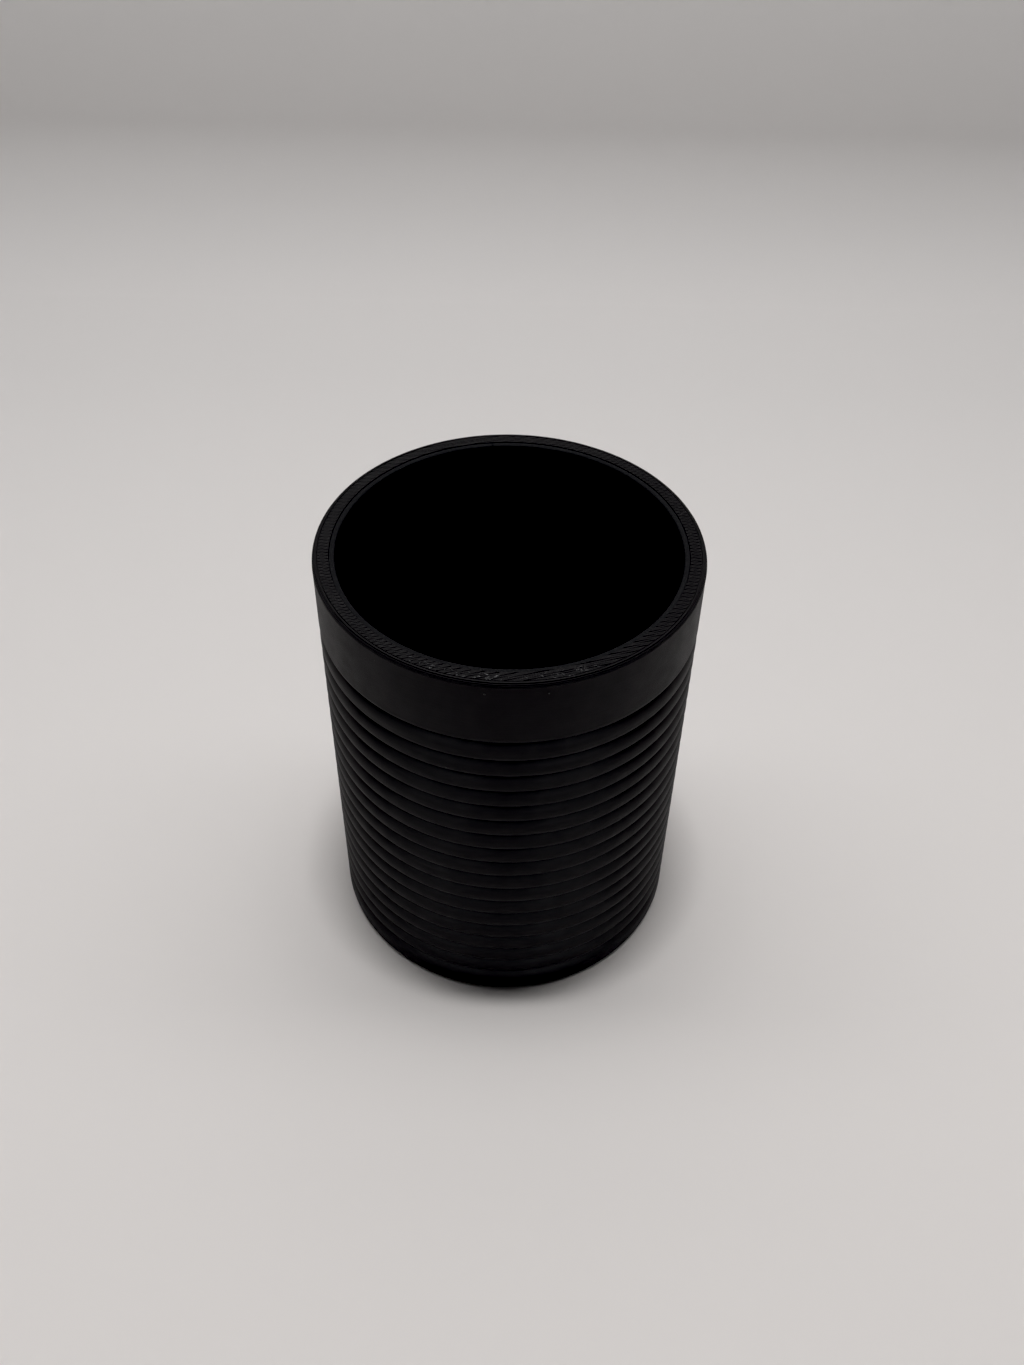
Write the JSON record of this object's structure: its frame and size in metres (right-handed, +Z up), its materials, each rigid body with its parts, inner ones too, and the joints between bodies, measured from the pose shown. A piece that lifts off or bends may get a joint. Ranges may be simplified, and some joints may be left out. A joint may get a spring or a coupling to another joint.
{
  "type": "dice cup",
  "caption": "Straight round dice cup: ribbed black printed shell with a smooth top band, leather lining and a leather pad underneath.",
  "frame": {"origin": "centre of the underside, on the surface the cup stands on", "axes": "+Z up along the cup's axis of symmetry, out of the mouth; the cup is round, so +X and +Y are free"},
  "size_m": [0.07, 0.07, 0.0892],
  "materials": {
    "printed_plastic": "matt black filament print with fine level layer lines",
    "lining_leather": "black dyed leather, fine grain, low sheen",
    "pad_leather": "black dyed leather, flesh side down"
  },
  "bodies": {
    "root": {"ribbed_shell": "printed_plastic", "wall_lining": "lining_leather", "floor_lining": "lining_leather", "base_pad": "pad_leather"}
  },
  "joints": []
}
